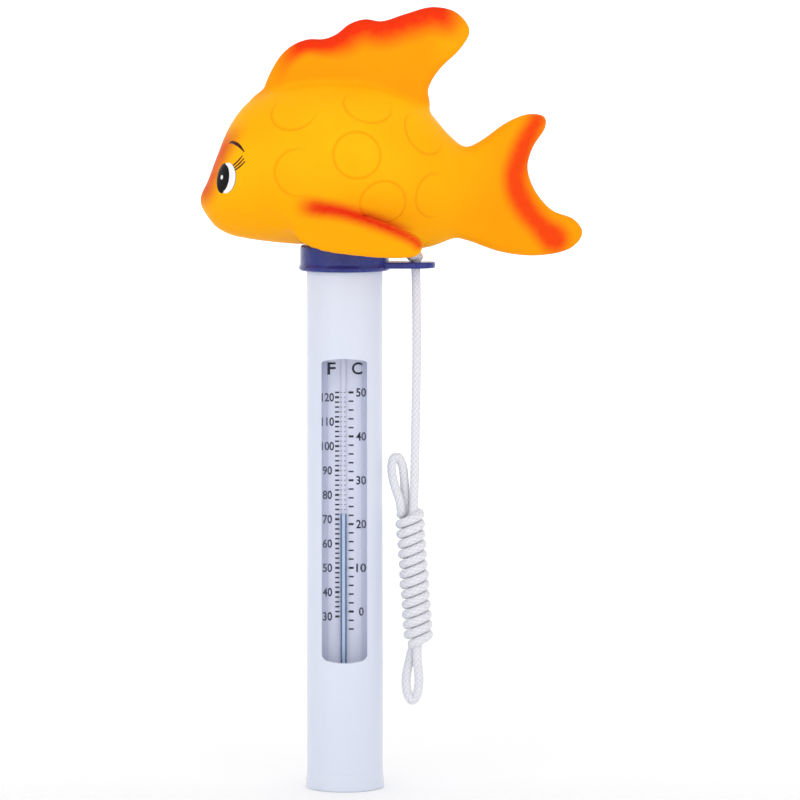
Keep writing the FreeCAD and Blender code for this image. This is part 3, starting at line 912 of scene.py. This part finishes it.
def vinyl_paint():
    """Soft satin vinyl, sprayed orange and red at the fins and face, with painted shade towards the
    underside, in the dorsal fin's root crease and in the scale grooves.
    """
    yellow, deep = (1.0, 0.50, 0.006), (0.96, 0.42, 0.004)
    red = (0.84, 0.030, 0.006)
    paint = Paint("fish_vinyl", yellow, 0.42, IOR=1.08)
    colour = paint.mix(paint.ramp(paint.noise(28, 4), 0.35, 0.75, 0, 1), yellow, deep)
    speckle = paint.noise(420, 6, rough=0.65)
    sprays = (
        # The first entry is painted shade, deeper orange towards the underside; the second is the dorsal
        # fin's orange paint, with painted shade in the crease at its root.
        ("underside_painted_shade", (0.93, 0.35, 0.003), 0.7), ("dorsal_orange_and_crease_shade", (0.95, 0.25, 0.003), 0.64),
        # The groove entry is painted shade: darker orange in the moulded scale grooves.
        ("tail_orange", (0.95, 0.29, 0.003), 0.62), ("groove", (0.80, 0.27, 0.003), 0.45),
        ("dorsal_red", red, 0.98), ("tail_red", red, 0.9), ("blush", (0.72, 0.06, 0.01), 0.88),
        ("pectoral_red", (0.76, 0.024, 0.006), 0.98),
    )
    for mask, tint, strength in sprays:
        grain = paint.math("MULTIPLY", paint.math("SUBTRACT", speckle, 0.5), 0.35)
        edge = paint.math("ADD", paint.attribute(mask), paint.math("MULTIPLY", grain, paint.attribute(mask)))
        colour = paint.mix(paint.ramp(edge, 0.02, 0.98, 0, strength), colour, tint)
    paint.colour(colour)
    paint.roughness(paint.ramp(paint.noise(260, 5), 0.3, 0.7, 0.38, 0.5))
    paint.bump(paint.noise(1100, 4), 0.02, 0.5)
    paint.bump(paint.noise(70, 3), 0.10, 0.35)
    return paint


def flat_paint(name, colour, roughness=0.35, gloss=0.3):
    """Hard glossy printed paint with slightly uneven cover."""
    paint = Paint(name, colour, roughness, Specular_IOR_Level=gloss)
    lighter = tuple(min(1.0, c * 1.25 + 0.004) for c in colour)
    paint.colour(paint.mix(paint.ramp(paint.noise(300, 5), 0.45, 0.8, 0, 0.6), colour, lighter))
    paint.bump(paint.noise(1300, 3), 0.015, 0.5)
    return paint


def decal(name, shape, outline, side, lift, paint, rings=6):
    """Painted mark that follows the flank: a filled outline given in (x, z)."""
    edge = np.asarray(outline, float)
    centre = edge.mean(axis=0)
    flat = [centre]
    for ring in range(1, rings + 1):
        flat += list(centre + (edge - centre) * ring / rings)
    flat = np.array(flat)
    points = shape.flank(flat[:, 0], flat[:, 1], side)
    normal = shape.outward(points)
    n = len(edge)
    top = points + normal * lift
    top[-n:] = points[-n:] - normal[-n:] * 0.03
    faces = []
    for j in range(n):
        k = (j + 1) % n
        faces.append((0, 1 + j, 1 + k))
        for ring in range(rings - 1):
            a = 1 + ring * n
            faces.append((a + j, a + n + j, a + n + k, a + k))
    if side > 0:
        faces = [f[::-1] for f in faces]
    obj = mesh_object(name, top, faces)
    return dress(obj, paint, "float")


def ellipse(centre, half, tilt, count=48):
    angle = np.linspace(0, 2 * np.pi, count, endpoint=False)
    u, v = half[0] * np.cos(angle), half[1] * np.sin(angle)
    c, s = math.cos(math.radians(tilt)), math.sin(math.radians(tilt))
    return np.stack([centre[0] + u * c - v * s, centre[1] + u * s + v * c], axis=1)


def brush_stroke(points, widths):
    """Outline of a stroke that swells and thins."""
    line = smooth_curve(points, per_span=6)
    width = np.interp(np.linspace(0, 1, len(line)), np.linspace(0, 1, len(widths)), widths) / 2
    along = np.gradient(line, axis=0)
    across = np.stack([-along[:, 1], along[:, 0]], axis=1) / np.linalg.norm(along, axis=1)[:, None]
    return np.vstack([line + across * width[:, None], (line - across * width[:, None])[::-1]])


def stroke_mesh(name, shape, points, widths, side, lift, paint):
    """Painted stroke that follows the flank."""
    outline = brush_stroke(points, widths)
    half = len(outline) // 2
    left, right = outline[:half], outline[half:][::-1]
    flat = np.concatenate([left, (left + right) / 2, right])
    on = shape.flank(flat[:, 0], flat[:, 1], side)
    height = np.concatenate([np.full(half, -0.02), np.full(half, lift), np.full(half, -0.02)])
    verts = on + shape.outward(on) * height[:, None]
    faces = []
    for row in range(2):
        for j in range(half - 1):
            a = row * half + j
            faces.append((a, a + half, a + half + 1, a + 1))
    if side > 0:
        faces = [f[::-1] for f in faces]
    obj = mesh_object(name, verts, faces)
    return dress(obj, paint, "float")


EYE_AT = (-36.5, 193.7)
EYE_HALF = (3.1, 5.0)
EYE_TILT = -9.0
EYE_RIM_HALF = (3.25, 5.15)
PUPIL_AT, PUPIL_HALF = (-37.5, 193.6), (2.15, 4.85)
GLINT_AT, GLINT_HALF = (-37.9, 193.9), (0.5, 0.95)
LASHES = [                   # root and tip of each
    ((-34.45, 197.6), (-31.4, 200.8)), ((-34.1, 196.9), (-30.9, 200.0)), ((-33.8, 196.2), (-30.5, 199.1)),
]
LASH_SAG = 0.12
LASH_WIDTHS = (0.5, 0.54, 0.36)
BROW = [(-35.8, 204.3), (-34.9, 204.8), (-33.5, 204.4), (-32.2, 203.5), (-30.8, 201.9)]
BROW_WIDTHS = (0.3, 1.0, 1.35, 1.15, 0.35)


def make_face(shape):
    white = flat_paint("eye_white", (0.86, 0.86, 0.86))
    black = flat_paint("eye_black", (0.004, 0.004, 0.005), 0.3, 0.1)
    maroon = flat_paint("lash_maroon", (0.05, 0.005, 0.004), 0.35, 0.15)
    for side, tag in ((-1, "left"), (1, "right")):
        decal("eye_rim_" + tag, shape, ellipse(EYE_AT, EYE_RIM_HALF, EYE_TILT), side, 0.05, black)
        decal("eye_white_" + tag, shape, ellipse(EYE_AT, EYE_HALF, EYE_TILT), side, 0.10, white)
        decal("eye_pupil_" + tag, shape, ellipse(PUPIL_AT, PUPIL_HALF, EYE_TILT), side, 0.15, black)
        glint = ellipse(GLINT_AT, GLINT_HALF, EYE_TILT, 24)
        decal("eye_glint_" + tag, shape, glint, side, 0.20, white, 3)
        for i, (root, tip) in enumerate(LASHES):
            middle = ((root[0] + tip[0]) / 2 + LASH_SAG, (root[1] + tip[1]) / 2 - LASH_SAG)
            name = f"eye_lash_{i + 1}_{tag}"
            stroke_mesh(name, shape, (root, middle, tip), LASH_WIDTHS, side, 0.09, maroon)
        stroke_mesh("eye_brow_" + tag, shape, BROW, BROW_WIDTHS, side, 0.09, maroon)


def make_fish():
    shape = FishShape()
    low, high = box_mm("fish_float")
    verts, faces = surface_net(shape, low - MESH_MARGIN_LOW, high + MESH_MARGIN_HIGH, FISH_STEP)
    fish = mesh_object("fish_body", shape.settle(verts), faces)
    centres = scale_centres(shape)
    refine_near_scales(fish, centres)
    points = shape.settle(mesh_points_mm(fish), 2)
    off, strength = nearest_scale(points, centres)
    groove = SCALE_DEPTH * strength * np.exp(-(off / SCALE_WIDTH) ** 2)
    points = points - shape.outward(points) * groove[:, None]
    fish.data.vertices.foreach_set("co", (points * MM).reshape(-1))
    fish.data.update()
    fish.data.polygons.foreach_set("use_smooth", [True] * len(fish.data.polygons))
    # The groove depth also drives painted shade: darker orange in the moulded scale grooves.
    point_attribute(fish, "groove", groove / SCALE_DEPTH)
    spray_masks(fish, shape)
    dress(fish, vinyl_paint(), "float")
    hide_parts("fish_float")
    make_face(shape)


# ---------------------------------------------------------------- scale and spirit

ZERO_C_Z = 55.8
MM_PER_C = 1.394
C_SPAN = (-4, 50)
F_SPAN = (30, 122)
TICK_STEP = 2
NUMERAL_HEIGHT = 2.75
LETTER_HEIGHT = 3.9
FIGURE_WEIGHT = 0.02
PRINT_LIFT = 0.03
INK_THICK = 0.02
TENS_THICK = 0.7
TICK_THICK = 0.5
FAINT_THICK = 0.34
C_TICK = (1.19, 2.80)
F_TICK = (-3.11, -1.75)
FAINT_TICKS = ((-1.5, -0.85), (-0.3, 0.3))
C_FIGURES = (3.6, 6.75)
C_ZERO = (4.45, 5.95)
F_TWO_FIGURES = (-7.0, -4.06)
F_THREE_FIGURES = (-7.35, -3.4)
LETTERS = (("F", -5.5, -2.86), ("C", 2.23, 5.58))
LETTER_Z = 133.1


class Print:
    """Collects thin printed shapes on the card's front face."""

    def __init__(self, front_y):
        self.y = front_y - PRINT_LIFT
        self.verts = []
        self.faces = []

    def add(self, verts, faces):
        start = len(self.verts)
        self.verts += list(verts)
        self.faces += [tuple(start + i for i in f) for f in faces]

    def bar(self, x0, x1, z, thick):
        """A ruled line with softened ends."""
        half = thick / 2
        nib = min(half, 0.12)
        outline = [(x0, z - half + nib), (x0 + nib, z - half), (x1 - nib, z - half), (x1, z - half + nib),
                   (x1, z + half - nib), (x1 - nib, z + half), (x0 + nib, z + half), (x0, z + half - nib)]
        n = len(outline)
        front = [(x, self.y, v) for x, v in outline]
        back = [(x, self.y + INK_THICK, v) for x, v in outline]
        faces = [tuple(range(n))] + [(i, i + n, (i + 1) % n + n, (i + 1) % n) for i in range(n)]
        self.add(front + back, faces)

    def text(self, words, x0, x1, z, height):
        """Figures or letters filling x0 to x1, centred on z."""
        curve = bpy.data.curves.new("figures", "FONT")
        curve.body = words
        curve.size = 1.0
        curve.offset = FIGURE_WEIGHT
        curve.extrude = 0.01
        curve.resolution_u = 4
        holder = bpy.data.objects.new("figures", curve)
        bpy.context.scene.collection.objects.link(holder)
        bpy.context.view_layer.update()
        mesh = bpy.data.meshes.new_from_object(holder)
        flat = np.array([v.co for v in mesh.vertices])
        faces = [tuple(p.vertices) for p in mesh.polygons]
        bpy.data.objects.remove(holder)
        bpy.data.meshes.remove(mesh)
        low, high = flat.min(axis=0), flat.max(axis=0)
        x = x0 + (flat[:, 0] - low[0]) / (high[0] - low[0]) * (x1 - x0)
        v = z + ((flat[:, 1] - low[1]) / (high[1] - low[1]) - 0.5) * height
        y = self.y + (high[2] - flat[:, 2]) / (high[2] - low[2]) * INK_THICK
        self.add(np.stack([x, y, v], axis=1).tolist(), faces)

    def make(self, name, paint):
        obj = mesh_object(name, self.verts, self.faces, smooth=False)
        return dress(obj, paint, "case")


def fahrenheit_z(degrees):
    return ZERO_C_Z + (degrees - 32) / 1.8 * MM_PER_C


def tick_thickness(degrees):
    return TENS_THICK if degrees % 10 == 0 else TICK_THICK


def printed_ink(name, colour, dark, pale):
    paint = Paint(name, colour, 0.6, Specular_IOR_Level=0.15)
    paint.colour(paint.mix(paint.noise(900, 4), dark, pale))
    paint.bump(paint.noise(1800, 3), 0.01, 0.4)
    return paint


def make_scale():
    """Marks, figures and letters on the card; the marks show faintly behind the glass stem."""
    front, _ = box_mm("scale_card")
    ink = printed_ink("scale_ink", (0.012, 0.012, 0.03), (0.005, 0.005, 0.016), (0.016, 0.016, 0.035))
    faint = printed_ink("faint_ink", (0.3, 0.3, 0.3), (0.33, 0.33, 0.30), (0.45, 0.44, 0.36))
    marks = Print(front[1])
    for degrees in range(C_SPAN[0], C_SPAN[1] + 1, TICK_STEP):
        marks.bar(*C_TICK, ZERO_C_Z + degrees * MM_PER_C, tick_thickness(degrees))
    marks.make("celsius_marks", ink)
    marks, behind = Print(front[1]), Print(front[1])
    for degrees in range(F_SPAN[0], F_SPAN[1] + 1, TICK_STEP):
        marks.bar(*F_TICK, fahrenheit_z(degrees), tick_thickness(degrees))
        for ends in FAINT_TICKS:
            behind.bar(*ends, fahrenheit_z(degrees), FAINT_THICK)
    marks.make("fahrenheit_marks", ink)
    figures = Print(front[1])
    for degrees in range(10, 60, 10):
        figures.text(str(degrees), *C_FIGURES, ZERO_C_Z + degrees * MM_PER_C, NUMERAL_HEIGHT)
    figures.text("0", *C_ZERO, ZERO_C_Z, NUMERAL_HEIGHT)
    figures.make("celsius_figures", ink)
    figures = Print(front[1])
    for degrees in range(30, 130, 10):
        span = F_THREE_FIGURES if degrees > 99 else F_TWO_FIGURES
        figures.text(str(degrees), *span, fahrenheit_z(degrees), NUMERAL_HEIGHT)
    figures.make("fahrenheit_figures", ink)
    behind.make("marks_behind_capillary", faint)
    letters = Print(front[1])
    for letter, left, right in LETTERS:
        letters.text(letter, left, right, LETTER_Z, LETTER_HEIGHT)
    letters.make("scale_letters", ink)


def spirit_paint(name, pale, paler):
    """Blue spirit: pale in the middle, with painted shade towards the sides of the fine bore where the mesh
    marks them.
    """
    paint = Paint(name, (0.02, 0.05, 0.3), 0.12, IOR=1.36, Coat_Weight=0.2)
    # Painted shade: darker blue towards the bore's left and right sides, pale in the middle.
    edge = paint.ramp(paint.attribute("bore_side_shade"), 0.44, 0.63, 0, 1)
    core = paint.mix(paint.noise(300, 3), pale, paler)
    paint.colour(paint.mix(edge, core, (0.012, 0.06, 0.26)))
    paint.bump(paint.noise(400, 2), 0.01, 0.3)
    return paint


SPIRIT_AROUND = 20
SPIRIT_RINGS = 110


def make_spirit():
    """Spirit column, from its foot at the bulb up to its top."""
    low, high = box_mm("spirit_column")
    centre = (low + high) / 2
    radius = (high[0] - low[0]) / 2
    around, rings = SPIRIT_AROUND, SPIRIT_RINGS
    heights = np.linspace(low[2], high[2], rings)
    verts, angle = [], 2 * np.pi * np.arange(around) / around
    profile = [(radius * 0.5, low[2])] + [(radius, z) for z in heights[1:-1]]
    profile += [(radius * 0.99, high[2] - 0.05), (radius * 0.9, high[2]), (radius * 0.55, high[2] - 0.22),
                (radius * 0.2, high[2] - 0.32)]
    for r, z in profile:
        verts += [(centre[0] + r * math.cos(a), centre[1] + r * math.sin(a), z) for a in angle]
    faces = grid_faces(len(profile), around)
    faces.append(tuple(reversed(range(around))))
    faces.append(tuple((len(profile) - 1) * around + j for j in range(around)))
    column = mesh_object("spirit_thread", verts, faces)
    # How far each point lies to the side of the bore, which drives the painted shade at the column's sides.
    point_attribute(column, "bore_side_shade", np.abs(np.array(verts)[:, 0] - centre[0]) / radius)
    column.data.materials.append(spirit_paint("blue_spirit", (0.50, 0.70, 0.93), (0.62, 0.80, 0.98)).material)
    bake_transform(column)
    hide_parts("spirit_column")


def paint_fixed_parts():
    plastics = (
        ("outer_tube", "tube_white", (0.69, 0.73, 0.84), (0.66, 0.705, 0.82), 0.34, 0.06),
        ("bottom_cap", "cap_white", (0.69, 0.73, 0.83), (0.66, 0.705, 0.81), 0.36, 0.06),
        ("tether_collar", "collar_blue", (0.014, 0.022, 0.19), (0.018, 0.03, 0.24), 0.26, 0.25),
        ("float_plug", "plug_vinyl", (0.8, 0.4, 0.01), (0.75, 0.34, 0.01), 0.5, 0.0),
    )
    for node, *look in plastics:
        finish_node(node, moulded_plastic(*look))
    finish_node("glass_envelope", clear_glass("clear_glass", (0.9, 0.91, 1.0), 0.16, 0.018, 0.3))
    finish_node("capillary_tube", clear_glass("capillary_glass", (0.93, 0.94, 0.98), 0.05, 0.012, 0.3))
    # Painted light: the white card is tinted lavender and glows faintly blue, standing in for the bluish
    # light inside the tube.
    card = Paint("scale_paper", (0.8, 0.8, 0.86), 0.55, Emission_Color=(0.72, 0.76, 1.0, 1),
                 Emission_Strength=0.16)
    card.colour(card.mix(card.noise(150, 5), (0.80, 0.82, 0.92), (0.74, 0.76, 0.88)))
    card.bump(card.noise(1500, 4), 0.02, 0.5)
    finish_node("scale_card", card)
    finish_node("bulb_spirit", spirit_paint("bulb_blue_spirit", (0.02, 0.07, 0.32), (0.03, 0.10, 0.42)))
    for node in ("lower_cushion", "upper_cushion"):
        finish_node(node, rubber(node + "_foam", (0.62, 0.62, 0.6), (0.5, 0.5, 0.48)))
    finish_node("envelope_stopper", rubber("stopper_rubber", (0.3, 0.3, 0.32), (0.22, 0.22, 0.24)))
    for node in ("capillary_tie_lower", "capillary_tie_upper"):
        finish_node(node, brushed_metal(node + "_steel", (0.62, 0.63, 0.66)))
    finish_node("ballast_weight", brushed_metal("ballast_steel", (0.45, 0.46, 0.48)))


make_camera()
make_stage()
make_cord()
make_fish()
make_scale()
make_spirit()
paint_fixed_parts()
